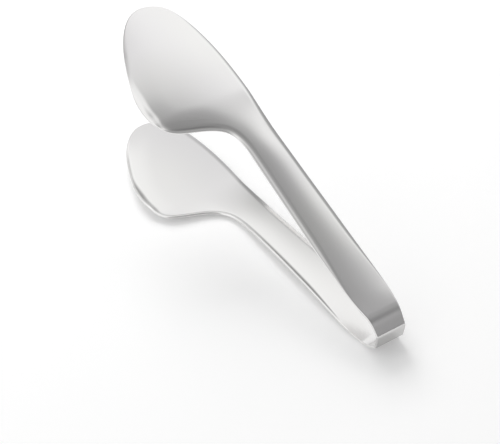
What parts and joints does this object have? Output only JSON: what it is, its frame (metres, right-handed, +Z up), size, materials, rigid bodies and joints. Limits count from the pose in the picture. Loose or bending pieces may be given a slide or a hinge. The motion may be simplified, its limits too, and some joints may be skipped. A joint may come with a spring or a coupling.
{
  "type": "serving tongs",
  "caption": "Tongs bent from a strip of stainless steel, with a springy bow, gutter-shaped arms and broad dished blades that swell to one side and taper to a point.",
  "frame": {"origin": "on the surface that the tongs lie on, under the middle of their overall box", "axes": "+Z up from the table, +X along the tongs towards the bow, -Y to the side that the blades swell to"},
  "size_m": [0.1937, 0.0496, 0.0827],
  "materials": {
    "stainless": "satin, with polished cut edges"
  },
  "bodies": {
    "bow": {"spring_bow": "stainless"},
    "upper": {"upper_arm": "stainless"},
    "lower": {"lower_arm": "stainless"}
  },
  "joints": [
    {"name": "upper_arm_flex", "type": "hinge", "parent": "bow", "child": "upper", "pos_m": [0.08962, 0.0156, 0.01805], "axis": [0, -1, 0], "range_deg": [0, 11.9], "stiffness_Nm_per_rad": 12},
    {"name": "lower_arm_flex", "type": "hinge", "parent": "bow", "child": "lower", "pos_m": [0.08622, 0.0156, 0.00061], "axis": [0, 1, 0], "range_deg": [0, 11.9], "stiffness_Nm_per_rad": 12}
  ],
  "couplings": [
    {"joint": "lower_arm_flex", "follows": "upper_arm_flex", "ratio": 1}
  ]
}
